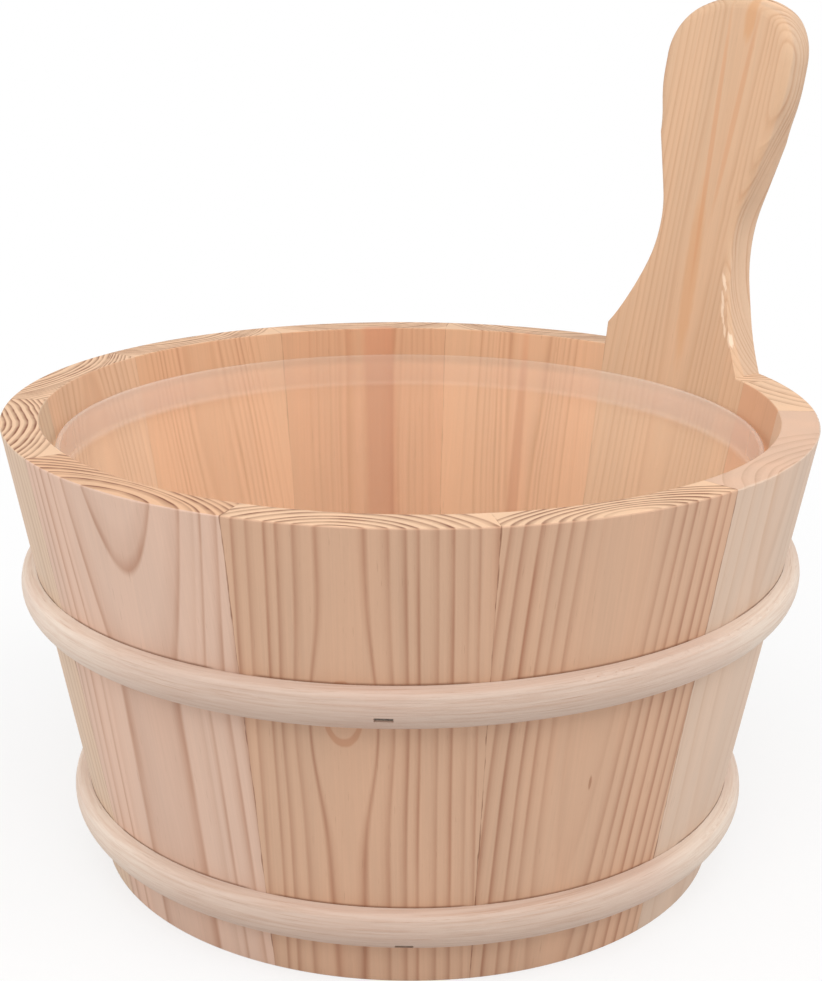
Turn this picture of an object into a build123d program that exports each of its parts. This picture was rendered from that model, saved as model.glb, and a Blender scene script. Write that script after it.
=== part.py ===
from build123d import *
from math import atan, atan2, cos, degrees, radians, sin, sqrt, tan
import os

# A piggin: a coopered wooden tub whose one long stave is its handle.
# Lengths are millimetres and named angles are degrees. The pieces are made with the tub's axis
# on Z and the handle stave centred on +X, and are then moved to the middle of their base.

# Tub: a truncated cone of staves
rim_radius = 130.0
foot_radius = 102.85
tub_height = 148.5
wall = 12.0
edge_round = 0.5

# Staves: the handle stave, then the others anticlockwise, as shares of what is left of the turn
handle_stave_angle = 36.5
stave_angle_shares = (31.6, 31.4, 32.2, 32.5, 32.5, 35.8, 32.6, 33.2, 42.9, 18.8)

# Handle: the long stave above the rim, measured up its outer face from the rim
handle_length = 126.6
handle_offset = 6.2
crown_radius = 46.0
shoulder_radius = 20.0
head_half_width = 30.8
head_side = 5.1
head_roundover_share = 0.417
hip_crossing_angle = 2.25
hip_stop_angle = 1.6
head_swing_angle = 20.0
cheek_straight_share = 0.563
neck_radius_share = 0.444
waist_share = 0.3555
grip_half_width = 18.9
grip_roundover_share = 0.25
grip_flare_share = 0.66
flare_angle = 50.0
heel_half_width = 34.8
heel_relief = 0.15
heel_sink_share = 0.8
blank_half_angle = 50.0

# Bottom: three boards whose tongue sits in the croze, a groove around the inside of the staves
chime = 10.0
board_thickness = 12.0
tongue_thickness = 6.0
croze_depth = 4.0
board_gap = 0.3
board_joint_offset = 31.0
dowel_radius = 3.0
dowel_length = 32.0
dowel_offset = 45.0
dowel_clearance = 0.05
dowel_end_clearance = 0.5

# Hoops: strips bent round the tub, each closed by a long scarf joint. The upper one sits a little
# askew, higher at the handle, and each strip's back is shaved to fit the tub.
upper_hoop_height = 97.5
upper_hoop_tilt = 1.25
lower_hoop_height = 21.3
lower_hoop_tilt = 0.0
hoop_width = 11.7
hoop_shaving = 0.6
hoop_depth = 5.8
hoop_face_radius = 9.0
hoop_corner_radius = 2.6
hoop_clearance = 0.1
scarf_azimuth = 30.0
scarf_slope = 0.12
scarf_half_span = 22.0
scarf_seam = 0.3

# Staples that pin the hoops, with sunk crowns
staple_crown = 5.0
staple_wire = 1.1
staple_thickness = 0.7
staple_leg = 9.5
staple_sink = 0.9
staple_slot_margin = 0.3
upper_front_azimuth = -126.5
lower_front_azimuth = -123.9
scarf_staple_angle = 7.0
upper_staple_drop = 1.4
lower_staple_drop = 4.2

# Liner: a moulded plastic pail that stands on the bottom boards
liner_wall = 1.6
liner_gap = 2.2
liner_corner = 8.0
liner_step_height = 127.5
liner_step = 1.2
liner_lip_height = 139.2
liner_band_draft = 0.3
liner_lip_round = 0.6

# One overrun serves every cut
overrun = 10.0

lean = atan((rim_radius - foot_radius) / tub_height)
board_top = chime + board_thickness


def outer_radius(z):
    return foot_radius + z * tan(lean)


def inner_radius(z):
    return outer_radius(z) - wall


def turned(points, start, angle, rounds=()):
    """Solid turned about Z from start. rounds pairs a radius with the points it rounds."""
    section = make_face(Polyline(*points, close=True))
    for radius, places in rounds:
        corners = [section.vertices().sort_by_distance(place)[0] for place in places]
        section = fillet(corners, radius)
    return Rot(0, 0, start) * revolve(Plane.XZ * section, Axis.Z, angle)


# Staves


def stave_points(top):
    """Radius and height around a stave's section, with the croze in its inner face."""
    groove_radius = inner_radius(board_top) + croze_depth
    groove_floor = board_top - tongue_thickness
    return (
        (inner_radius(0), 0),
        (outer_radius(0), 0),
        (outer_radius(top), top),
        (inner_radius(top), top),
        (inner_radius(board_top), board_top),
        (groove_radius, board_top),
        (groove_radius, groove_floor),
        (inner_radius(groove_floor), groove_floor),
    )


def plain_stave(start, angle):
    points = stave_points(tub_height)
    return turned(points, start, angle, [(edge_round, points[:4])])


def plain_staves():
    turn_left = 360 - handle_stave_angle
    start = handle_stave_angle / 2
    staves = []
    for share in stave_angle_shares:
        angle = turn_left * share / sum(stave_angle_shares)
        staves.append(plain_stave(start, angle))
        start += angle
    return staves


# Handle stave

# The handle's outlines are drawn on the outer face of the stave: x across it and y up it.
# A straight cheek joins the hollow arc of the neck, at the waist, to the full arc of the hip.
handle_face = Plane(
    origin=(rim_radius, 0, tub_height),
    x_dir=(0, 1, 0),
    z_dir=(cos(lean), 0, -sin(lean)),
)
outline_top = handle_length + 3 * overrun
shoulder_x = head_half_width - shoulder_radius
crown_y = handle_length - crown_radius
shoulder_y = crown_y + sqrt((crown_radius - shoulder_radius) ** 2 - shoulder_x ** 2)
waist_y = waist_share * handle_length
hip_y = shoulder_y - head_side
cheek_rise = hip_y - waist_y
cheek_run = head_half_width - grip_half_width
cheek_angle = 2 * degrees(atan2(cheek_run, cheek_rise * (1 + cheek_straight_share)))
cheek_arcs = cheek_rise * (1 - cheek_straight_share * cos(radians(cheek_angle)))
neck_radius = neck_radius_share * cheek_arcs / sin(radians(cheek_angle))
hip_radius = neck_radius * (1 - neck_radius_share) / neck_radius_share
cheek_foot = Vector(
    grip_half_width + neck_radius * (1 - cos(radians(cheek_angle))),
    waist_y + neck_radius * sin(radians(cheek_angle)),
)


def blank_board():
    """The curved board that the handle is sawn from, wider and longer than it needs."""
    bottom = tub_height - overrun
    top = tub_height + (handle_length + overrun) * cos(lean)
    points = (
        (inner_radius(bottom), bottom),
        (outer_radius(bottom), bottom),
        (outer_radius(top), top),
        (inner_radius(top), top),
    )
    return turned(points, -blank_half_angle, 2 * blank_half_angle)


def tail(curve, low):
    """Straight line that carries a curve on to the height low, and then back to the middle."""
    reach = (low - (curve @ 1).Y) / (curve % 1).Y
    end = curve @ 1 + (curve % 1) * reach
    return Polyline(curve @ 1, end, (0, low))


def through(half_outline):
    """Prism through the board, from the half of its outline on the +x side."""
    outline = make_face(half_outline + mirror(half_outline, Plane.YZ))
    return extrude(handle_face * Pos(handle_offset, 0) * outline, amount=4 * wall, both=True)


def rounded_board(half_outline, roundover):
    """The board sawn to an outline, with its long edges rounded over."""
    blank = blank_board() & through(half_outline)
    long_edges = [
        edge
        for face in blank.faces().filter_by(GeomType.CONE)
        for edge in face.edges()
        if edge.bounding_box().size.Z > roundover / 2
    ]
    return fillet(long_edges, roundover)


def head_outline():
    """Crown, shoulder and hip, then a curve that swings clear of the grip."""
    blend = degrees(atan2(shoulder_y - crown_y, shoulder_x))
    hip_lap = hip_radius * (1 - cos(radians(hip_crossing_angle))) / sin(radians(cheek_angle))
    hip_foot = hip_y - hip_lap
    hip_turn = cheek_angle - hip_stop_angle
    crown = CenterArc((0, crown_y), crown_radius, 90, blend - 90)
    shoulder = CenterArc((shoulder_x, shoulder_y), shoulder_radius, blend, -blend)
    side = Line(shoulder @ 1, (head_half_width, hip_foot))
    hip = CenterArc((head_half_width - hip_radius, hip_foot), hip_radius, 0, -hip_turn)
    swing_centre = hip @ 1 + Vector(hip_radius, 0).rotate(Axis.Z, -hip_turn)
    swing = CenterArc(swing_centre, hip_radius, 180 - hip_turn, hip_turn + head_swing_angle)
    return crown + shoulder + side + hip + swing + tail(swing, -2 * overrun)


def grip_outline():
    """Straight cheeks that narrow to the waist of the grip, then a flare to the heel."""
    cheek_top = cheek_foot.X + (outline_top - cheek_foot.Y) * tan(radians(cheek_angle))
    flare_radius = grip_flare_share * heel_radius()
    cheek = Polyline((0, outline_top), (cheek_top, outline_top), cheek_foot)
    neck_centre = (grip_half_width + neck_radius, waist_y)
    neck = CenterArc(neck_centre, neck_radius, 180 - cheek_angle, cheek_angle)
    flare = CenterArc((grip_half_width + flare_radius, waist_y), flare_radius, 180, flare_angle)
    return cheek + neck + flare + tail(flare, -2 * overrun)


def heel_radius():
    rise = heel_half_width - grip_half_width - heel_relief
    return (rise ** 2 + waist_y ** 2) / (2 * rise)


def heel_outline():
    """All of the handle above the waist, and the sharp-edged heel that runs out to the joints."""
    waist_x = grip_half_width + heel_relief
    outside = 2 * head_half_width
    turn = 2 * degrees(atan2(heel_half_width - waist_x, waist_y))
    above = Polyline((0, outline_top), (outside, outline_top), (outside, waist_y), (waist_x, waist_y))
    heel = CenterArc((waist_x + heel_radius(), waist_y), heel_radius(), 180, turn)
    return above + heel + tail(heel, -overrun)


def between_joints(half_angle):
    """Wedge between the planes of the stave's two joints, up from within the rim's rounding."""
    foot = tub_height - heel_sink_share * edge_round
    reach = 2 * rim_radius
    corners = [(reach * cos(radians(a)), reach * sin(radians(a))) for a in (-half_angle, half_angle)]
    triangle = make_face(Polyline((0, 0), *corners, close=True))
    return Pos(0, 0, foot) * extrude(triangle, amount=2 * handle_length)


def handle_stave():
    half_angle = handle_stave_angle / 2
    tub_part = plain_stave(-half_angle, handle_stave_angle)
    grip = rounded_board(grip_outline(), grip_roundover_share * wall) & through(heel_outline())
    head = rounded_board(head_outline(), head_roundover_share * wall)
    handle = head & (grip & between_joints(half_angle))
    return tub_part + handle


# Bottom boards and their dowels


def bottom_disc():
    tongue_foot = board_top - tongue_thickness
    tongue_radius = inner_radius(board_top) + croze_depth - board_gap
    points = (
        (0, chime),
        (inner_radius(chime) - board_gap, chime),
        (inner_radius(tongue_foot) - board_gap, tongue_foot),
        (tongue_radius, tongue_foot),
        (tongue_radius, board_top),
        (0, board_top),
    )
    return turned(points, 0, 360)


def dowels(radius, length):
    """Pegs across both joints of the bottom."""
    middle = chime + board_thickness / 2
    return [
        Pos(x, y, middle) * Rot(90, 0, 0) * Cylinder(radius, length)
        for x in (-dowel_offset, dowel_offset)
        for y in (-board_joint_offset, board_joint_offset)
    ]


def bottom_boards():
    """Three boards, with the handle's side to the right of the middle one's ends."""
    disc = bottom_disc()
    for hole in dowels(dowel_radius + dowel_clearance, dowel_length + 2 * dowel_end_clearance):
        disc = disc - hole
    middle_width = 2 * board_joint_offset
    middle = disc & Box(2 * rim_radius, middle_width, 2 * tub_height)
    side = Box(2 * rim_radius, rim_radius, 2 * tub_height)
    left = disc & (Pos(0, board_joint_offset + rim_radius / 2) * side)
    right = disc & (Pos(0, -board_joint_offset - rim_radius / 2) * side)
    return left, middle, right


# Hoops and their staples


def hoop(height, tilt, azimuth):
    """Strip round the tub, full and rounded outside, with the seam of its scarf joint."""
    strip = Pos((hoop_depth - hoop_shaving) / 2, 0) * Rectangle(hoop_depth + hoop_shaving, hoop_width)
    strip = strip & (Pos(hoop_depth - hoop_face_radius, 0) * Circle(hoop_face_radius))
    strip = fillet(strip.vertices().group_by(Axis.X)[-1], hoop_corner_radius)
    seat = outer_radius(height) + hoop_clearance
    ring = revolve(Plane.XZ * Pos(seat, 0) * Rot(0, 0, -degrees(lean)) * strip, Axis.Z, 360)
    middle = seat + hoop_depth / 2
    seam_line = CenterArc((0, scarf_slope * middle), middle, -scarf_half_span, 2 * scarf_half_span)
    seam = extrude(trace(seam_line, scarf_seam), amount=hoop_width, both=True)
    ring = ring - Rot(0, 0, azimuth) * seam
    sideways = rise(height, tilt) * tan(lean)
    return (Pos(sideways, 0, height) * Rot(0, -tilt, 0) * ring) - tub_core()


def rise(height, tilt):
    """How much higher a hoop stands at the handle than at its middle."""
    return outer_radius(height) * tan(radians(tilt))


def tub_core():
    """The cone that the hoops fit round."""
    foot = outer_radius(0) + hoop_clearance
    rim = outer_radius(tub_height) + hoop_clearance
    return turned(((0, 0), (foot, 0), (rim, tub_height), (0, tub_height)), 0, 360)


def staple_place(height, tilt, drop, azimuth):
    """Frame on the wall's outer face: x straight out of it, y along the hoop."""
    foot = height + rise(height, tilt) * cos(radians(azimuth)) - drop * cos(lean)
    return Rot(0, 0, azimuth) * Pos(outer_radius(foot), 0, foot) * Rot(0, degrees(lean), 0)


def crown_face(drop):
    """Distance from the wall to the outside of a staple's crown, sunk in the hoop."""
    bulge = hoop_depth - hoop_face_radius + sqrt(hoop_face_radius ** 2 - drop ** 2)
    return hoop_clearance + bulge - staple_sink


def staple(place, drop):
    outside = crown_face(drop)
    crown = Pos(outside - staple_thickness / 2, 0, 0) * Box(staple_thickness, staple_crown, staple_wire)
    leg = Box(staple_leg, staple_thickness, staple_wire)
    leg_x = outside - staple_leg / 2
    leg_y = (staple_crown - staple_thickness) / 2
    return place * (crown + Pos(leg_x, leg_y, 0) * leg + Pos(leg_x, -leg_y, 0) * leg)


def staple_slot(place, drop):
    """The slot that the driven crown leaves in the hoop."""
    mouth = Box(hoop_depth, staple_crown + staple_slot_margin, staple_wire + staple_slot_margin)
    return place * Pos(crown_face(drop) + hoop_depth / 2, 0, 0) * mouth


def stapled_hoop(height, tilt, drop, front):
    """A hoop with its staples and the slots over them."""
    ring = hoop(height, tilt, scarf_azimuth)
    staples = []
    for azimuth in (front, scarf_azimuth - scarf_staple_angle, scarf_azimuth + scarf_staple_angle):
        place = staple_place(height, tilt, drop, azimuth)
        pin = staple(place, drop)
        ring = ring - pin - staple_slot(place, drop)
        staples.append(pin)
    return ring, staples


# Liner


def liner():
    """Tapered pail with a stepped-out band below its lip."""
    foot = board_top
    step_top = liner_step_height + liner_step
    wall_foot = inner_radius(foot) - liner_gap
    wall_top = inner_radius(liner_step_height) - liner_gap
    band = wall_top + liner_step
    lip = band + liner_band_draft
    outside = (
        (wall_foot, foot),
        (wall_top, liner_step_height),
        (band, step_top),
        (lip, liner_lip_height),
    )
    inside = [(radius - liner_wall, height) for radius, height in reversed(outside[1:])]
    floor_top = foot + liner_wall
    inner_foot = (wall_foot - liner_wall + liner_wall * tan(lean), floor_top)
    points = ((0, foot), *outside, *inside, inner_foot, (0, floor_top))
    rounds = [
        (liner_corner, [outside[0]]),
        (liner_corner - liner_wall, [inner_foot]),
        (liner_lip_round, [outside[3], inside[0]]),
        (liner_step / 2, [outside[1], outside[2], inside[1], inside[2]]),
    ]
    return turned(points, 0, 360, rounds)


# Assembly


def pieces():
    upper_hoop, upper_staples = stapled_hoop(
        upper_hoop_height, upper_hoop_tilt, upper_staple_drop, upper_front_azimuth
    )
    lower_hoop, lower_staples = stapled_hoop(
        lower_hoop_height, lower_hoop_tilt, lower_staple_drop, lower_front_azimuth
    )
    staves = {"handle_stave": handle_stave()}
    for number, stave in enumerate(plain_staves(), start=1):
        staves[f"stave_{number:02d}"] = stave
    for name in staves:
        for pin in upper_staples + lower_staples:
            staves[name] = staves[name] - pin
    left, middle, right = bottom_boards()
    return {
        **staves,
        "bottom_board_left": left,
        "bottom_board_middle": middle,
        "bottom_board_right": right,
        "bottom_dowels": Compound(dowels(dowel_radius, dowel_length)),
        "upper_hoop": upper_hoop,
        "lower_hoop": lower_hoop,
        "upper_hoop_staples": Compound(upper_staples),
        "lower_hoop_staples": Compound(lower_staples),
        "liner": liner(),
    }


made = pieces()
boxes = [piece.bounding_box() for piece in made.values()]
middle_x = (min(box.min.X for box in boxes) + max(box.max.X for box in boxes)) / 2
os.makedirs("parts", exist_ok=True)
for name, piece in made.items():
    export_step(Pos(-middle_x, 0, 0) * piece, f"parts/{name}.step")
print(f"the tub's axis is {middle_x:.3f} mm behind the middle of the base")
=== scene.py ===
import bpy
import math
from mathutils import Matrix, Vector
from typing import NamedTuple

# The looks of a coopered pine pail. Lengths in the materials are millimetres from the tub's axis,
# lengths on the stage are metres.

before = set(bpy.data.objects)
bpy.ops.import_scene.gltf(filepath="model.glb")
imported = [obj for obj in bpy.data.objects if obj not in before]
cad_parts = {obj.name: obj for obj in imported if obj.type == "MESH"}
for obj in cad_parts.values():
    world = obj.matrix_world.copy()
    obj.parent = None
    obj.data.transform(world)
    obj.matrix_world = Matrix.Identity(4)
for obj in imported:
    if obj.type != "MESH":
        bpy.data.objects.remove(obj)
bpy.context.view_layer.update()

# Sizes of the part that the looks follow

MM = 0.001
AXIS_X = -11.0
RIM_RADIUS = 130.0
FOOT_RADIUS = 102.85
TUB_HEIGHT = 148.5
WALL = 12.0
LEAN = math.atan((RIM_RADIUS - FOOT_RADIUS) / TUB_HEIGHT)
HANDLE_ANGLE = 36.5
STAVE_SHARES = (31.6, 31.4, 32.2, 32.5, 32.5, 35.8, 32.6, 33.2, 42.9, 18.8)
BOTTOM_BOARDS = ("bottom_board_left", "bottom_board_middle", "bottom_board_right")
BOARD_PITCH = 60.0
BOARD_TOP = 22.0
HOOP_WIDTH = 11.7
LINER_STEP = 127.5
LINER_LIP = 137.0


class Hoop(NamedTuple):
    """The height of its middle, and its tilt in degrees."""
    middle: float
    tilt: float


HOOPS = {"upper_hoop": Hoop(97.5, 1.25), "lower_hoop": Hoop(21.3, 0.0)}


def srgb(red, green, blue):
    """Linear colour from an sRGB one of 0 to 255."""
    def linear(value):
        value /= 255
        return value / 12.92 if value <= 0.04045 else ((value + 0.055) / 1.055) ** 2.4
    return (linear(red), linear(green), linear(blue), 1.0)


def grey(value):
    return (value,) * 3 + (1,)


def heading(degrees):
    """Unit vector on the floor, anticlockwise from the handle."""
    return math.cos(math.radians(degrees)), math.sin(math.radians(degrees))


# Shader nodes


class Grain(NamedTuple):
    """A noise: its cells to the millimetre along each axis, and how fine it is."""
    cells: tuple
    detail: float = 2.0
    rough: float = 0.5


class Graph:
    """Short forms for the nodes of one material, or of the world."""

    # the colour sockets of Blender's Mix node: share, first, second
    MIX_SOCKETS = (0, 6, 7)
    MIX_RESULT = 2

    def __init__(self, owner, output="OutputMaterial"):
        self.owner = owner
        owner.use_nodes = True
        self.tree = owner.node_tree
        self.tree.nodes.clear()
        self.output = self.node(output)

    def node(self, kind, inputs=None, **settings):
        made = self.tree.nodes.new("ShaderNode" + kind)
        for key, value in settings.items():
            setattr(made, key, value)
        for key, value in (inputs or {}).items():
            self.put(made.inputs[key], value)
        return made

    def put(self, socket, value):
        if isinstance(value, bpy.types.NodeSocket):
            self.tree.links.new(value, socket)
        else:
            socket.default_value = value

    def math(self, operation, *values, clamp=False):
        return self.node("Math", dict(enumerate(values)), operation=operation, use_clamp=clamp).outputs[0]

    def plus(self, first, second, clamp=False):
        return self.math("ADD", first, second, clamp=clamp)

    def minus(self, first, second):
        return self.math("SUBTRACT", first, second)

    def times(self, first, second):
        return self.math("MULTIPLY", first, second)

    def squares(self, first, second):
        """The sum of two squares."""
        return self.plus(self.times(first, first), self.times(second, second))

    def hypot(self, first, second):
        return self.math("SQRT", self.squares(first, second))

    def vector(self, operation, *values):
        return self.node("VectorMath", dict(enumerate(values)), operation=operation).outputs[0]

    def scaled(self, vector, factors):
        return self.vector("MULTIPLY", vector, factors)

    def length(self, vector):
        return self.node("VectorMath", {0: vector}, operation="LENGTH").outputs["Value"]

    def split(self, vector):
        return self.node("SeparateXYZ", {"Vector": vector}).outputs

    def join(self, x, y, z):
        return self.node("CombineXYZ", {"X": x, "Y": y, "Z": z}).outputs[0]

    def noise(self, spot, grain, output="Fac"):
        made = self.node("TexNoise", {"Vector": self.scaled(spot, grain.cells), "Scale": 1.0,
                                      "Detail": grain.detail, "Roughness": grain.rough})
        return made.outputs[output]

    def window(self, value, low, high, out_low=0.0, out_high=1.0, smooth=True):
        """The value's way from low to high, mapped to the way from out_low to out_high."""
        made = self.node("MapRange", {"Value": value, "From Min": low, "From Max": high,
                                      "To Min": out_low, "To Max": out_high})
        made.interpolation_type = "SMOOTHSTEP" if smooth else "LINEAR"
        return made.outputs[0]

    def ramp(self, value, stops):
        """Greys between (position, grey) stops."""
        made = self.node("ValToRGB", {"Fac": value})
        elements = made.color_ramp.elements
        while len(elements) > 1:
            elements.remove(elements[-1])
        for index, (position, shade) in enumerate(stops):
            element = elements[0] if index == 0 else elements.new(position)
            element.position = position
            element.color = grey(shade)
        return made.outputs[0]

    def mix(self, share, first, second, blend="MIX"):
        made = self.node("Mix", data_type="RGBA", blend_type=blend)
        for index, value in zip(self.MIX_SOCKETS, (share, first, second)):
            self.put(made.inputs[index], value)
        return made.outputs[self.MIX_RESULT]

    def tinted(self, colour, tone):
        return self.mix(1.0, colour, tone, "MULTIPLY")

    def layer(self, colour, value, span, share, other):
        """Another colour over this one by a share, where the value has run through the span."""
        return self.mix(self.times(self.window(value, *span), share), colour, other)

    def place(self):
        """Millimetres from the tub's axis, in the row frame."""
        spot = self.node("TexCoord").outputs["Object"]
        return self.vector("ADD", self.scaled(spot, (1 / MM,) * 3), (-AXIS_X, 0, 0))

    def skin(self, relief, bump, inputs):
        """A plain surface with the relief's bumps: their strength, and their height in metres."""
        raised = self.node("Bump", {"Height": relief, "Strength": bump[0], "Distance": bump[1]})
        return self.node("BsdfPrincipled", {"Normal": raised.outputs[0], **inputs}).outputs[0]

    def two(self, kind, first, second, inputs=None):
        """A shader made of two others, which take its last two inputs."""
        made = self.node(kind, inputs)
        self.put(made.inputs[-2], first)
        self.put(made.inputs[-1], second)
        return made.outputs[0]

    def close(self, surface):
        self.put(self.output.inputs["Surface"], surface)
        return self.owner


def material_graph(name):
    return Graph(bpy.data.materials.new(name))


# Pine: the rings and marks of each board


class Mark(NamedTuple):
    """An oval mark in a board's frame: filled, or a line of the given width around it.

    It shows between the two depths below the outer face.
    """
    x: float
    z: float
    wide: float
    high: float
    lean: float = 0.0
    line: float = 0.0
    ragged: float = 0.3
    tone: tuple = (126, 78, 50)
    strength: float = 0.6
    depth: tuple = (-4.0, 3.0)


class Knoll(NamedTuple):
    """A swelling of the trunk that spreads the rings around a place of a board."""
    x: float
    z: float
    wide: float
    high: float
    gain: float


class Wood(NamedTuple):
    """A board's rings, in its own frame: x across it, y inwards, z up it from the rim.

    The heart lies at pith and drifts by slope along the board. Rings are (radius, strength) around
    it, flattened by oval, and drawn in by bowl down to the height bowl_end. Early, late and end are
    the colours of early wood, late wood and end grain. Face is how much of the late wood shows on the
    outer face, and inner is the tone indoors.
    """
    pith: tuple = (0.0, -40.0)
    slope: tuple = (0.0, 0.01)
    oval: float = 1.0
    bowl: float = 0.0
    bowl_end: float = -400.0
    knoll: Knoll = None
    rings: tuple = ((37.0, 0.5), (40.5, 0.8), (43.0, 0.6), (46.5, 0.9), (49.0, 0.5), (52.5, 0.8),
                    (55.0, 0.7))
    edge: float = 0.25
    warp: float = 1.0
    early: tuple = (240, 199, 166)
    late: tuple = (186, 124, 86)
    face: float = 0.7
    inner: tuple = (1.03, 0.95, 0.86)
    end: tuple = (244, 204, 168)
    marks: tuple = ()


# Not all of the numbers below were chosen by hand. Points on the boards' dark lines were picked by
# hand in the photograph, and a scratch program turned them into millimetres. For stave_04, stave_05,
# stave_07 and stave_08 heart, slope, oval and many radii were also fitted. They stand here rounded,
# and those of stave_07 were then reworked.
OUTER_RINGS = ((37.0, 0.6), (39.8, 0.8), (41.6, 0.5), (44.7, 0.9), (47.1, 0.6), (49.0, 0.7))

# depths below the outer face: the inner face, and the handle's inner arris
FLAT = (9.0, 24.0)
ARRIS = (12.2, 24.0)
BANDS = (
    Mark(6.2, 73.5, 1.5, 62.0, lean=0.053, ragged=0.2, tone=(206, 150, 110), strength=0.55, depth=FLAT),
    Mark(-2.6, 86.0, 1.7, 44.0, lean=-0.07, ragged=0.2, tone=(206, 150, 110), strength=0.5, depth=FLAT),
    Mark(4.6, 28.0, 4.4, 40.0, lean=0.05, ragged=0.3, tone=(206, 150, 102), strength=0.42, depth=FLAT),
    Mark(-1.1, 119.0, 3.4, 11.0, ragged=0.4, tone=(208, 150, 100), strength=0.5, depth=FLAT))
TORN_PLACES = ((-13.3, 28.0), (-14.2, 22.5), (-15.6, 17.5), (-18.5, 12.5), (-22.5, 8.5), (-27.0, 5.0))
TORN_FIBRES = tuple(Mark(x, z, 0.9, 3.4, lean=0.45, ragged=1.6, tone=(252, 230, 204), depth=ARRIS)
                    for x, z in TORN_PLACES)
TORN_HEEL = Mark(-29.0, 2.6, 1.6, 1.2, ragged=1.2, depth=ARRIS)

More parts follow.
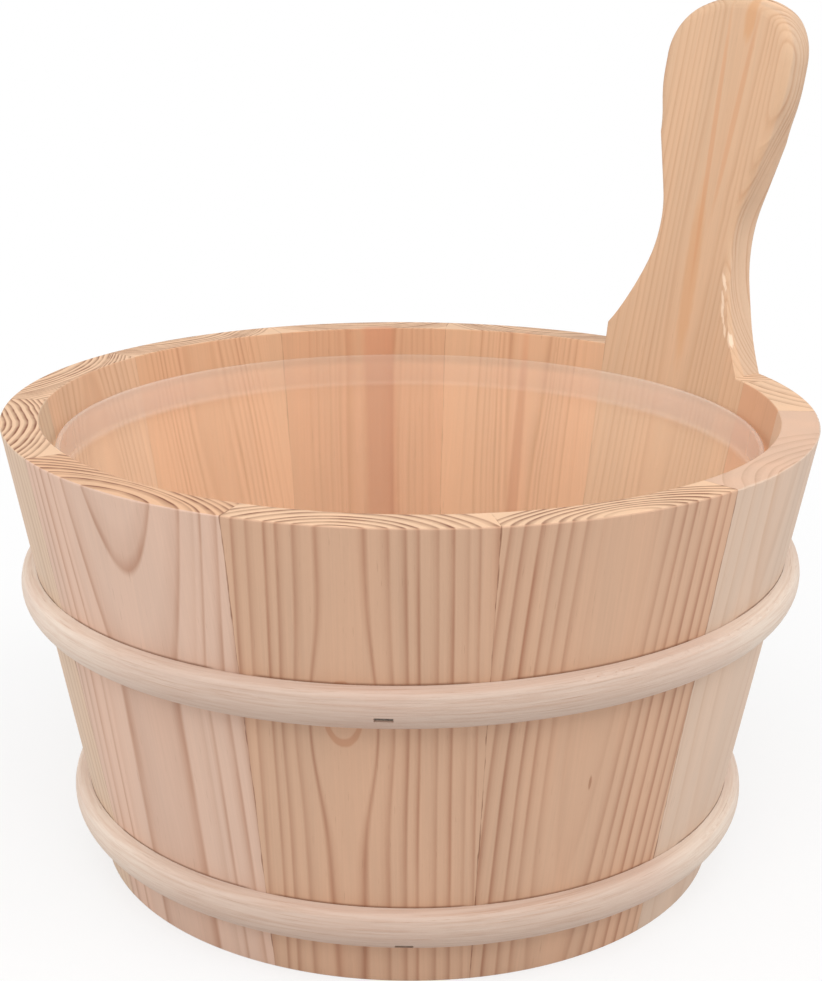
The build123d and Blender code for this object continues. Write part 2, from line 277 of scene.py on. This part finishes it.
WOODS = {
    "stave_01": Wood(
        pith=(-1.8, -38.0), slope=(0.0, 0.004),
        marks=(Mark(0.5, -70.0, 2.8, 90.0, ragged=0.2, tone=(208, 138, 104), strength=0.45, depth=FLAT),),
        rings=OUTER_RINGS + ((50.25, 0.9), (50.8, 0.7), (51.25, 0.9), (51.7, 0.3), (52.3, 0.6),
                             (53.2, 0.7), (54.5, 0.8), (57.0, 0.3))),
    "stave_02": Wood(
        pith=(-3.3, -38.0), slope=(0.0, 0.0), early=(232, 192, 160), inner=(1.04, 0.92, 0.82),
        marks=(Mark(-6.0, -70.0, 8.0, 300.0, ragged=0.3, tone=(204, 132, 98), strength=0.42, depth=FLAT),),
        rings=OUTER_RINGS + ((51.0, 1.0), (51.8, 0.6), (52.3, 0.3), (53.3, 0.5), (54.3, 0.3), (55.6, 0.4),
                             (57.3, 0.4))),
    "stave_03": Wood(
        pith=(4.0, -38.0), slope=(0.1, 0.0),
        rings=OUTER_RINGS + ((50.56, 0.5), (51.2, 1.0), (51.9, 0.5), (52.7, 0.5), (53.6, 0.9),
                             (54.5, 0.9), (55.5, 0.5), (56.8, 0.6), (58.5, 0.3))),
    "stave_04": Wood(
        pith=(-4.0, -44.7), slope=(0.0, -0.02), oval=0.85, inner=(1.05, 1.06, 1.04),
        rings=((46.5, 0.7), (49.6, 0.8), (51.4, 0.9), (53.4, 1.0), (55.0, 0.5), (56.8, 0.5), (57.2, 0.7),
               (57.9, 0.9), (58.9, 0.7), (60.1, 0.8), (61.4, 0.6), (62.6, 0.7), (64.5, 0.5), (67.0, 0.5))),
    "stave_05": Wood(
        pith=(-11.5, -15.2), slope=(0.0, 0.0), oval=0.51,
        face=0.35, early=(242, 212, 184), inner=(0.98, 0.99, 0.95),
        rings=((15.8, 0.8), (17.9, 1.0), (19.6, 0.9), (21.8, 1.0), (24.1, 1.0), (26.4, 0.9), (28.0, 0.8),
               (29.4, 0.6), (31.0, 0.7), (33.0, 0.5))),
    "stave_06": Wood(
        pith=(6.0, -1.9), slope=(0.03, 0.0), oval=0.385, bowl=1.3, bowl_end=-54.0, edge=0.25, warp=0.3,
        early=(244, 207, 184), late=(184, 124, 90), face=0.58, end=(236, 190, 152),
        rings=((5.8, 1.0), (9.8, 1.0), (11.7, 0.25), (12.7, 0.8), (14.9, 0.8), (16.6, 0.8), (18.2, 0.6),
               (20.0, 0.7), (22.0, 0.5), (24.0, 0.7))),
    "stave_07": Wood(
        pith=(-5.2, -10.0), slope=(0.007, 0.0), oval=0.707, bowl=0.074,
        knoll=Knoll(-5.3, -62.0, wide=16.0, high=24.0, gain=48.0),
        edge=0.42, warp=0.4, early=(236, 192, 160), late=(172, 107, 74),
        rings=((10.0, 0.0), (11.09, 0.9), (13.75, 0.6), (16.37, 0.75), (18.4, 0.8), (21.7, 0.55),
               (24.5, 0.8), (27.2, 0.35), (29.3, 0.6), (32.8, 0.6)),
        marks=(Mark(-5.3, -57.5, 4.9, 9.4, line=0.9, ragged=0.08, tone=(184, 128, 94), strength=0.6),)),
    "stave_08": Wood(
        pith=(-0.3, 0.3), slope=(0.052, 0.027), oval=0.354, edge=0.22, warp=0.3,
        early=(236, 192, 160), late=(172, 107, 74),
        rings=((3.1, 0.15), (4.9, 0.5), (6.4, 0.7), (7.8, 0.85), (9.6, 0.9), (11.35, 0.9), (12.9, 0.8),
               (14.5, 0.7), (16.0, 0.7)),
        marks=(Mark(-0.6, -85.8, 0.6, 3.2, tone=(144, 90, 58), strength=0.6),
               Mark(-30.5, -99.3, 0.6, 13.0, lean=-0.222, strength=0.8))),
    "stave_09": Wood(
        pith=(-24.0, -40.0), slope=(0.0, 0.02), face=2.4, end=(230, 192, 165),
        early=(242, 212, 188), late=(216, 172, 138),
        rings=((40.5, 0.1), (42.8, 0.17), (45.0, 0.1), (48.4, 0.17), (52.0, 0.12), (57.0, 0.12),
               (62.0, 0.1))),
    "stave_10": Wood(
        pith=(40.0, -60.0), slope=(0.0, 0.0), early=(236, 196, 166), late=(206, 156, 122),
        inner=(1.03, 0.90, 0.79),
        rings=((66.0, 0.4), (70.0, 0.3), (75.0, 0.5), (79.0, 0.3), (84.0, 0.4))),
    "handle_stave": Wood(
        pith=(5.0, -28.0), slope=(-0.031, 0.008), early=(236, 200, 168), late=(196, 138, 98), warp=0.5,
        inner=(1.02, 0.98, 0.92),
        marks=BANDS + TORN_FIBRES + (TORN_HEEL,),
        rings=((28.0, 0.5), (30.5, 0.6), (33.0, 0.5), (36.0, 0.7), (39.4, 0.25), (40.9, 0.65),
               (41.7, 0.5), (42.7, 0.75), (43.9, 0.5), (45.2, 0.75), (46.7, 0.5), (48.4, 0.75),
               (50.5, 0.5), (53.0, 0.7), (56.0, 0.5), (60.0, 0.7))),
}


RISE_SHARE = 0.5
FOOT_SHARE = 0.3
STEEP_EDGES = 2.2
GAP_EDGES = 1.2
TAIL_EDGES = 4
RINGS_A_RAMP = 7


def ring_mask(g, radius, wood):
    """Late wood: rises slowly, then quickly, towards each ring's radius and falls away past it."""
    total = None
    edge = wood.edge
    for first in range(0, len(wood.rings), RINGS_A_RAMP):
        group = wood.rings[first:first + RINGS_A_RAMP]
        low = wood.rings[first - 1][0] if first else 2 * group[0][0] - group[1][0]
        high = group[-1][0] + TAIL_EDGES * edge
        last = low
        stops = [(low, 0.0)]
        for peak, strength in group:
            start = max(last + GAP_EDGES * edge, peak - RISE_SHARE * (peak - last))
            steep = max((start + peak) / 2, peak - STEEP_EDGES * edge)
            stops += [(start, 0.0), (steep, FOOT_SHARE * strength), (peak, strength), (peak + edge, 0.0)]
            last = peak
        stops = [((place - low) / (high - low), value) for place, value in stops]
        part = g.ramp(g.window(radius, low, high, smooth=False), stops)
        total = part if total is None else g.plus(total, part)
    return total


SLOW_BEND = Grain((1 / 34, 1 / 34, 1 / 120), detail=1.5)
QUICK_BEND = Grain((1 / 9, 1 / 9, 1 / 60), detail=1.0)
SLOW_REACH = 3.0
QUICK_REACH = 0.9


def warped(g, board, seeded, wood):
    """The board's coordinates, bent a little as a trunk is."""
    def bend(grain, reach):
        centred = g.vector("SUBTRACT", g.noise(seeded, grain, "Color"), (0.5,) * 3)
        return g.scaled(centred, (reach * wood.warp,) * 3)
    both = g.vector("ADD", bend(SLOW_BEND, SLOW_REACH), bend(QUICK_BEND, QUICK_REACH))
    return g.vector("ADD", board, both)


BOWL_BLEND = 20.0


def ring_radius(g, spot, wood):
    """How far out in the trunk a spot of the board lies."""
    x, y, z = g.split(spot)
    across = g.minus(g.minus(x, wood.pith[0]), g.times(z, wood.slope[0]))
    depth = g.minus(g.minus(y, wood.pith[1]), g.times(z, wood.slope[1]))
    square = g.squares(g.times(across, wood.oval), depth)
    square = g.minus(square, g.times(g.math("SMOOTH_MAX", z, wood.bowl_end, BOWL_BLEND), wood.bowl))
    if wood.knoll:
        aside = g.times(g.minus(x, wood.knoll.x), 1 / wood.knoll.wide)
        aloft = g.times(g.minus(z, wood.knoll.z), 1 / wood.knoll.high)
        hill = g.math("EXPONENT", g.times(g.squares(aside, aloft), -1.0))
        square = g.minus(square, g.times(hill, wood.knoll.gain))
    return g.math("SQRT", g.math("MAXIMUM", square, 0.0))


# Pine: how much of the late wood shows, its colours, and painted light by zone

END_NORMAL = (0.75, 0.95)
END_POWER = 0.6
END_TONE = 1.13
END_LATE = (0.52, 0.42, 0.36, 1)
# painted shade: the outer faces darker than the indoor ones, and the wood above the liner darker again
OUTSIDE_PAINTED_SHADE = 0.72
BARE_PAINTED_SHADE = 0.77
BARE_BLEND = 3
INDOOR_CALM = 0.33
BARE_CALM = 0.42
INDOOR_DEPTHS = (WALL - 1.5, WALL - 0.4)
FIBRES = Grain((1.6, 1.6, 1 / 40), detail=3.0, rough=0.6)
CLOUDS = Grain((1 / 16, 1 / 16, 1 / 90))
PORES = Grain((2.4, 2.4, 1 / 7), detail=1.0)
PATCHES = Grain((1 / 7, 1 / 7, 1 / 45))
PATCH_SPAN = (0.3, 0.7)
PATCH_SHARES = (0.72, 1.2)
FIBRE_TONE = 0.16
CLOUD_TONE = 0.2
WARM_SPAN = (0.35, 0.7)
WARM_SHARE = 0.22
WARM_TONE = (1.0, 0.90, 0.84, 1)
PORE_SPAN = (0.70, 0.80)
PORE_SHARE = 0.2
PORE_COLOUR = srgb(150, 100, 70)
RING_RELIEF = 0.6
FIBRE_RELIEF = 0.5
WOOD_BUMP = (0.25, 0.0002)
WOOD_ROUGHNESS = 0.52
FIBRE_ROUGHNESS = 0.16
WOOD_SHINE = 0.32


class Zones(NamedTuple):
    """Shares from 0 to 1 for end grain, for the inside of the tub and for what stands above the liner."""
    end: bpy.types.NodeSocket
    indoors: bpy.types.NodeSocket
    bare: bpy.types.NodeSocket


def zones(g, depth, height):
    """End grain where a face looks up or down, and the inside from the wall's depth on."""
    upright = g.math("ABSOLUTE", g.split(g.node("TexCoord").outputs["Normal"])[2])
    end = g.window(upright, *END_NORMAL)
    indoors = g.times(g.window(depth, *INDOOR_DEPTHS), g.minus(1.0, end))
    return Zones(end, indoors, g.window(height, LINER_LIP - BARE_BLEND, LINER_LIP))


def late_share(g, late, wood, zone, seeded):
    """Late wood as it shows: calmer indoors, fuller on end grain, uneven along the board."""
    calm = g.window(zone.bare, 0, 1, INDOOR_CALM, BARE_CALM)
    share = g.times(late, g.window(zone.indoors, 0, 1, wood.face, calm))
    full = g.math("POWER", late, END_POWER)
    share = g.plus(share, g.times(zone.end, g.minus(full, share)))
    return g.times(share, g.window(g.noise(seeded, PATCHES), *PATCH_SPAN, *PATCH_SHARES))


def wood_colour(g, share, fibre, wood, zone, seeded):
    """Early and late wood with fibres, clouds, warm places and pores."""
    cloud = g.noise(seeded, CLOUDS)
    early = g.mix(zone.end, srgb(*wood.early), srgb(*wood.end))
    late = g.mix(zone.end, srgb(*wood.late), g.tinted(srgb(*wood.late), END_LATE))
    tone = g.plus(g.times(g.minus(fibre, 0.5), FIBRE_TONE), g.times(g.minus(cloud, 0.5), CLOUD_TONE))
    tone = g.plus(tone, 1.0)
    colour = g.tinted(g.mix(share, early, late), g.join(tone, tone, tone))
    colour = g.layer(colour, cloud, WARM_SPAN, WARM_SHARE, g.tinted(colour, WARM_TONE))
    pore_share = g.times(g.minus(1.0, zone.end), PORE_SHARE)
    return g.layer(colour, g.noise(seeded, PORES), PORE_SPAN, pore_share, PORE_COLOUR)


def painted_zone_light(g, colour, wood, zone):
    """Each zone's tone, with painted light: painted shade outside, warmer indoors, more painted shade
    above the liner.
    """
    tone = g.mix(zone.indoors, grey(OUTSIDE_PAINTED_SHADE), (*wood.inner, 1))
    tone = g.mix(zone.end, tone, grey(OUTSIDE_PAINTED_SHADE * END_TONE))
    colour = g.tinted(colour, tone)
    return g.mix(g.times(zone.indoors, zone.bare), colour, g.tinted(colour, grey(BARE_PAINTED_SHADE)))


def pine(name, wood, azimuth, seed, lean=LEAN, origin=None, half_angle=None):
    """Pine with the rings of one board, which starts at the rim unless an origin is given.

    Only staves have a half angle: it places their joints and brings the painted shadow lines along the
    hoops.
    """
    g = material_graph(name)
    spot = g.place()
    if origin is None:
        x, y = heading(azimuth)
        origin = (RIM_RADIUS * x, RIM_RADIUS * y, TUB_HEIGHT)
    turn = (lean, 0, math.radians(azimuth) + math.pi / 2)
    frame_inputs = {"Vector": spot, "Location": origin, "Rotation": turn}
    board = g.node("Mapping", frame_inputs, vector_type="TEXTURE").outputs[0]
    seeded = g.vector("ADD", board, (seed, 2 * seed, 3 * seed))
    depth = g.split(board)[1]
    zone = zones(g, depth, g.split(spot)[2])
    late = ring_mask(g, ring_radius(g, warped(g, board, seeded, wood), wood), wood)
    share = late_share(g, late, wood, zone, seeded)
    fibre = g.noise(seeded, FIBRES)
    colour = painted_zone_light(g, wood_colour(g, share, fibre, wood, zone, seeded), wood, zone)
    for mark in wood.marks:
        colour = marked(g, colour, board, seeded, mark)
    if half_angle is not None:
        # painted shadows along the tops of the hoops
        colour = hoop_shadow_lines(g, colour, spot, depth)
        colour = joint_lines(g, colour, spot, depth, seeded, azimuth, half_angle)
    relief = g.plus(g.times(fibre, FIBRE_RELIEF), g.times(share, RING_RELIEF))
    rough = g.plus(WOOD_ROUGHNESS, g.times(fibre, FIBRE_ROUGHNESS))
    return g.close(g.skin(relief, WOOD_BUMP, {"Base Color": colour, "Roughness": rough,
                                              "Specular IOR Level": WOOD_SHINE}))


RAGGED = Grain((0.8, 0.8, 0.2), detail=3.0)
MARK_SPAN = (1.0, 0.5)
MARK_BLEND = 0.5


def marked(g, colour, board, seeded, mark):
    """The colour with one oval mark on it."""
    x, depth, z = g.split(board)
    rise = g.minus(z, mark.z)
    across = g.minus(g.minus(x, mark.x), g.times(rise, mark.lean))
    away = g.hypot(g.times(across, 1 / mark.wide), g.times(rise, 1 / mark.high))
    away = g.plus(away, g.times(g.minus(g.noise(seeded, RAGGED), 0.5), mark.ragged))
    if mark.line:
        away = g.times(g.math("ABSOLUTE", g.minus(away, 1.0)), mark.wide / mark.line)
    near, far = mark.depth
    within = g.times(g.window(depth, near - MARK_BLEND, near), g.window(depth, far + MARK_BLEND, far))
    return g.layer(colour, away, MARK_SPAN, g.times(within, mark.strength), srgb(*mark.tone))


# edges of the painted shadow line, from the hoop's top upwards, and depths below the outer face
HOOP_SHADOW_TOP = (0.8, 0.1)
HOOP_SHADOW_FOOT = (-0.8, -0.4)
HOOP_SHADOW_DEPTHS = (4.0, 3.0)
HOOP_SHADOW_SHARE = 0.6
HOOP_SHADOW_COLOUR = srgb(120, 76, 50)


def level(g, x, z, hoop):
    """Height in the hoop's own tilted plane."""
    return g.minus(z, g.times(x, math.tan(math.radians(hoop.tilt))))


def hoop_shadow_lines(g, colour, spot, depth):
    """A thin dark line of painted shadow on the staves along the top of each hoop."""
    x, _, z = g.split(spot)
    for hoop in HOOPS.values():
        above = g.minus(level(g, x, z, hoop), hoop.middle + HOOP_WIDTH / 2)
        line = g.times(g.window(above, *HOOP_SHADOW_TOP), g.window(above, *HOOP_SHADOW_FOOT))
        share = g.times(line, HOOP_SHADOW_SHARE)
        colour = g.layer(colour, depth, HOOP_SHADOW_DEPTHS, share, HOOP_SHADOW_COLOUR)
    return colour


CHIPS = Grain((0.2, 0.2, 1 / 14), detail=3.0, rough=0.6)
CHIP_WIDTH_SPAN = (0.42, 0.75)
JOINT_WIDTHS = (0.1, 0.5)
CHIP_SHADE_SPAN = (0.42, 0.64)
JOINT_SHADES = (0.2, 0.72)
JOINT_DEPTHS = (WALL - 2, WALL - 1)
INDOOR_JOINTS = 0.45
JOINT_COLOUR = srgb(120, 74, 48)


def joint_lines(g, colour, spot, depth, seeded, azimuth, half_angle):
    """Dark lines along a stave's two joints, open in places and fainter indoors."""
    turn = -math.radians(azimuth)
    turned = g.node("VectorRotate", {"Vector": spot, "Angle": turn}, rotation_type="Z_AXIS")
    along, aside, _ = g.split(turned.outputs[0])
    angle = g.math("ABSOLUTE", g.math("ARCTAN2", aside, along))
    gap = g.times(g.hypot(along, aside), g.minus(math.radians(half_angle), angle))
    chips = g.noise(seeded, CHIPS)
    width = g.window(chips, *CHIP_WIDTH_SPAN, *JOINT_WIDTHS)
    shade = g.times(g.window(chips, *CHIP_SHADE_SPAN, *JOINT_SHADES),
                    g.window(depth, *JOINT_DEPTHS, 1.0, INDOOR_JOINTS))
    return g.layer(colour, gap, (width, g.times(width, 0.5)), shade, JOINT_COLOUR)


def staves():
    """Each plain stave's number, the middle of its turn and half its angle, on from the handle."""
    start = HANDLE_ANGLE / 2
    for number, share in enumerate(STAVE_SHARES, start=1):
        angle = (360 - HANDLE_ANGLE) * share / sum(STAVE_SHARES)
        yield number, start + angle / 2, angle / 2
        start += angle


def dressed(node, material):
    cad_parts[node].data.materials.clear()
    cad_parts[node].data.materials.append(material)


# each board's place in the noises
HANDLE_SEED = 11.0
STAVE_SEED_STEP = 37.0
BOARD_SEED = 411.0
BOARD_SEED_STEP = 50
DOWEL_SEED = 777.0

BOARD_FACE = 0.22
SEAT_GAP = 0.2

dressed("handle_stave", pine("handle_stave", WOODS["handle_stave"], 0.0, HANDLE_SEED,
                             half_angle=HANDLE_ANGLE / 2))
for number, middle, half_angle in staves():
    node = f"stave_{number:02d}"
    dressed(node, pine(node, WOODS[node], middle, STAVE_SEED_STEP * number, half_angle=half_angle))
for number, node in enumerate(BOTTOM_BOARDS):
    dressed(node, pine(node, Wood(face=BOARD_FACE), 0.0, BOARD_SEED + BOARD_SEED_STEP * number,
                       lean=math.pi / 2, origin=(0, BOARD_PITCH * (1 - number), BOARD_TOP)))
    # a hair's gap under the liner, which would else share a face with the boards
    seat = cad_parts[node].modifiers.new("seat", "DISPLACE")
    seat.mid_level = 0.0
    seat.strength = -SEAT_GAP * MM
dressed("bottom_dowels", pine("bottom_dowels", Wood(), 0.0, DOWEL_SEED, lean=0.0, origin=(0, 0, 0)))


# Hoops

HOOP_TONE = (0.77, 0.775, 0.775, 1)
# painted shade: darker and pinker on the side of the hoops that faces the camera
FRONT_PAINTED_SHADE = (0.80, 0.73, 0.71, 1)
SHADED_FRONT = heading(-123.5)
SHADED_FRONT_SPAN = (0.5, 0.95)
ROUND_CELLS = 1 / 26
ACROSS_CELLS = 1.3
OUTWARD_CELLS = (1.1, 0, 0.4)
BENT_FIBRES = Grain((1, 1, 1), detail=4.0, rough=0.62)
BENT_HAIRS = Grain((1.6, 1.6, 4.5), detail=3.0, rough=0.6)
BENT_CLOUDS = Grain((1 / 60, 1 / 60, 0))
HOOP_PALE = srgb(250, 231, 214)
HOOP_DEEP = srgb(236, 208, 187)
DEEP_SPAN = (0.35, 0.75)
HAIR_COLOUR = srgb(200, 160, 132)
HAIR_SPAN = (0.57, 0.72)
HAIR_SHARE = 0.5
TORN_COLOUR = srgb(255, 246, 232)
TORN_SPAN = (0.42, 0.3)
TORN_CLOUD_SPAN = (0.45, 0.6)
TORN_SHARE = 0.5
BLUSH_COLOUR = srgb(240, 208, 190)
BLUSH_SPAN = (0.4, 0.7)
BLUSH_SHARE = 0.35
BENT_RELIEF = 0.6
HAIR_RELIEF = 0.5
HOOP_BUMP = (0.45, 0.0004)
HOOP_ROUGHNESS = 0.58
HOOP_SHINE = 0.3


def hoop_wood(name, radius, hoop):
    """Pale bent wood with fibres that run round the tub, with painted shade, darker and pinker, over the
    third of its way that faces the camera.
    """
    g = material_graph(name)
    spot = g.place()
    x, y, z = g.split(spot)
    out = g.hypot(x, y)
    side = g.minus(out, radius)
    rise = g.minus(level(g, x, z, hoop), hoop.middle)
    long = g.join(g.times(x, ROUND_CELLS), g.times(y, ROUND_CELLS), g.times(rise, ACROSS_CELLS))
    long = g.vector("ADD", long, g.scaled(g.join(side, side, side), OUTWARD_CELLS))
    fibre = g.noise(long, BENT_FIBRES)
    hairs = g.noise(long, BENT_HAIRS)
    cloud = g.noise(spot, BENT_CLOUDS)
    colour = g.mix(g.window(fibre, *DEEP_SPAN), HOOP_PALE, HOOP_DEEP)
    colour = g.layer(colour, hairs, HAIR_SPAN, HAIR_SHARE, HAIR_COLOUR)
    torn_share = g.times(g.window(cloud, *TORN_CLOUD_SPAN), TORN_SHARE)
    colour = g.layer(colour, hairs, TORN_SPAN, torn_share, TORN_COLOUR)
    colour = g.layer(colour, cloud, BLUSH_SPAN, BLUSH_SHARE, BLUSH_COLOUR)
    colour = g.tinted(colour, HOOP_TONE)
    # painted shade on the side that faces the camera
    heart = g.plus(g.times(x, SHADED_FRONT[0]), g.times(y, SHADED_FRONT[1]))
    heart = g.window(g.math("DIVIDE", heart, out), *SHADED_FRONT_SPAN)
    colour = g.mix(heart, colour, g.tinted(colour, FRONT_PAINTED_SHADE))
    relief = g.plus(g.times(fibre, BENT_RELIEF), g.times(hairs, HAIR_RELIEF))
    return g.close(g.skin(relief, HOOP_BUMP, {"Base Color": colour, "Roughness": HOOP_ROUGHNESS,
                                              "Specular IOR Level": HOOP_SHINE}))


for node, hoop in HOOPS.items():
    dressed(node, hoop_wood(node, FOOT_RADIUS + hoop.middle * math.tan(LEAN), hoop))


# Staples

STEEL_CLOUDS = Grain((1.5, 1.5, 1.5), detail=3.0)
STEEL_PALE = srgb(150, 144, 136)
STEEL_DARK = srgb(96, 88, 80)
STEEL_ROUGHNESS = 0.35
STEEL_SCATTER = 0.2


def steel(name):
    """Dull wire steel."""
    g = material_graph(name)
    cloud = g.noise(g.place(), STEEL_CLOUDS)
    rough = g.plus(STEEL_ROUGHNESS, g.times(cloud, STEEL_SCATTER))
    shader = g.node("BsdfPrincipled", {"Base Color": g.mix(cloud, STEEL_PALE, STEEL_DARK),
                                       "Roughness": rough, "Metallic": 1.0})
    return g.close(shader.outputs[0])


for node in HOOPS:
    dressed(node + "_staples", steel(node + "_staples"))


# Liner

LINER_CLOUDS = Grain((1 / 45, 1 / 45, 1 / 45))
# the band: the collar's own milkiness plus painted reflection, weaker on the far side seen face on than on
# the sides seen at a slant
BAND_HEIGHTS = (LINER_STEP - 0.6, LINER_STEP + 2.2)
FAR_SIDE = heading(56.5)
FAR_SIDE_SPAN = (60.0, 115.0)
FAR_SIDE_SHARE = 0.3
LINER_ALPHA = 0.05
BAND_ALPHA = 0.23
CLOUD_ALPHA = 0.02
LINER_COLOUR = srgb(246, 232, 216)
BAND_COLOUR = srgb(248, 232, 220)
LINER_BUMP = (0.1, 0.001)
LINER_ROUGHNESS = 0.38
LINER_SHINE = 0.3


def liner_plastic():
    """Translucent plastic, milky in the band below its lip, partly its own milkiness and partly painted
    reflection, which is weaker on the far side that faces the camera.
    """
    g = material_graph("liner")
    spot = g.place()
    x, y, z = g.split(spot)
    cloud = g.noise(spot, LINER_CLOUDS)
    # painted reflection: a less milky band on the far side, which faces the camera
    clear = g.plus(g.times(x, FAR_SIDE[0]), g.times(y, FAR_SIDE[1]))
    band = g.times(g.window(z, *BAND_HEIGHTS), g.window(clear, *FAR_SIDE_SPAN, 1.0, FAR_SIDE_SHARE))
    alpha = g.plus(LINER_ALPHA, g.times(band, BAND_ALPHA))
    alpha = g.plus(alpha, g.times(g.minus(cloud, 0.5), CLOUD_ALPHA))
    colour = g.mix(band, LINER_COLOUR, BAND_COLOUR)
    return g.close(g.skin(cloud, LINER_BUMP, {"Base Color": colour, "Roughness": LINER_ROUGHNESS,
                                              "Alpha": alpha, "Specular IOR Level": LINER_SHINE}))


dressed("liner", liner_plastic())


# Stage: pale floor, white surroundings, soft lamps, camera

WHITE = grey(1)
FLOOR_REACH = 30.0
FLOOR_FADE = (0.25, 0.6)
FLOOR_BOUNCE = grey(0.65)
FLOOR_PAINT = grey(0.24)
FLOOR_GLOW = 0.71
WORLD_LIGHT = 0.7


def seen_by(g, *rays):
    """1 for rays of the kinds named."""
    path = g.node("LightPath").outputs
    seen = path[rays[0]]
    for ray in rays[1:]:
        seen = g.plus(seen, path[ray], clamp=True)
    return seen


def floor_material():
    """Grey for the light it throws back; to the eye pale with soft shadows, and white far away."""
    g = material_graph("floor")
    spot = g.node("TexCoord").outputs["Object"]
    far = g.window(g.length(g.scaled(spot, (1, 1, 0))), *FLOOR_FADE)
    paint = g.node("BsdfDiffuse", {"Color": FLOOR_PAINT}).outputs[0]
    glow = g.node("Emission", {"Color": WHITE, "Strength": FLOOR_GLOW}).outputs[0]
    white = g.node("Emission", {"Color": WHITE, "Strength": 1.0}).outputs[0]
    bounce = g.node("BsdfDiffuse", {"Color": FLOOR_BOUNCE}).outputs[0]
    shown = g.two("MixShader", g.two("AddShader", paint, glow), white, {"Fac": far})
    seen = seen_by(g, "Is Camera Ray", "Is Glossy Ray", "Is Transmission Ray")
    return g.close(g.two("MixShader", bounce, shown, {"Fac": seen}))


def world_light():
    """White where it is seen, dimmer as a light."""
    g = Graph(bpy.data.worlds.new("studio"), "OutputWorld")
    seen = seen_by(g, "Is Camera Ray", "Is Transmission Ray")
    strength = g.window(seen, 0, 1, WORLD_LIGHT, 1.0, smooth=False)
    return g.close(g.node("Background", {"Color": WHITE, "Strength": strength}).outputs[0])


scene = bpy.context.scene
scene.world = world_light()
floor_mesh = bpy.data.meshes.new("floor")
floor_corners = [(x * FLOOR_REACH, y * FLOOR_REACH, 0) for x, y in ((-1, -1), (1, -1), (1, 1), (-1, 1))]
floor_mesh.from_pydata(floor_corners, [], [(0, 1, 2, 3)])
floor = bpy.data.objects.new("floor", floor_mesh)
scene.collection.objects.link(floor)
floor.data.materials.append(floor_material())

CAMERA_SPIN = math.radians(-33.55)
CAMERA_BACK = 549.1
CAMERA_HEIGHT = 287.3
CAMERA_PITCH = math.radians(17.07)
CAMERA_YAW = math.radians(0.05)
CAMERA_ROLL = math.radians(0.40)
CAMERA_LENS = 64.06
AXIS_POINT = Vector((AXIS_X * MM, 0, 0))
SPIN = Matrix.Rotation(CAMERA_SPIN, 3, "Z")


class Lamp(NamedTuple):
    """A round lamp, placed as the camera sees it: x to the right, y away, z up."""
    place: tuple
    power: float
    size: float = 1.2


LAMPS = {
    "key": Lamp((0.0, -1.1, 1.6), 13.5, size=1.3),
    "high left": Lamp((-1.3, -0.5, 1.4), 4.0),
    "high right": Lamp((1.3, -0.5, 1.4), 9.0),
    "low left": Lamp((-1.7, -0.2, 0.6), 6.4),
    "low right": Lamp((1.7, -0.2, 0.6), 2.2),
}
LAMP_AIM_HEIGHT = 0.1
LAMP_TARGET = AXIS_POINT + Vector((0, 0, LAMP_AIM_HEIGHT))


def lit(name, lamp):
    """Puts one lamp on the stage, turned towards the tub."""
    data = bpy.data.lights.new(name, "AREA")
    data.shape = "DISK"
    data.size = lamp.size
    data.energy = lamp.power
    made = bpy.data.objects.new(name, data)
    made.location = AXIS_POINT + SPIN @ Vector(lamp.place)
    made.rotation_euler = (LAMP_TARGET - made.location).to_track_quat("-Z", "Y").to_euler()
    scene.collection.objects.link(made)


for name, lamp in LAMPS.items():
    lit(name, lamp)


def camera_turn():
    """The camera's axes as columns, from its yaw, pitch and roll."""
    forward = Vector((math.sin(CAMERA_YAW) * math.cos(CAMERA_PITCH),
                      math.cos(CAMERA_YAW) * math.cos(CAMERA_PITCH), -math.sin(CAMERA_PITCH)))
    right = Vector((math.cos(CAMERA_YAW), -math.sin(CAMERA_YAW), 0))
    up = right.cross(forward)
    right_rolled = right * math.cos(CAMERA_ROLL) + up * math.sin(CAMERA_ROLL)
    up_rolled = up * math.cos(CAMERA_ROLL) - right * math.sin(CAMERA_ROLL)
    return Matrix((right_rolled, up_rolled, -forward)).transposed()


camera_data = bpy.data.cameras.new("camera")
camera_data.lens = CAMERA_LENS
camera = bpy.data.objects.new("camera", camera_data)
camera_spot = AXIS_POINT + SPIN @ Vector((0, -CAMERA_BACK, CAMERA_HEIGHT)) * MM
camera.matrix_world = Matrix.Translation(camera_spot) @ (SPIN @ camera_turn()).to_4x4()
scene.collection.objects.link(camera)
scene.camera = camera
scene.view_settings.view_transform = "Standard"
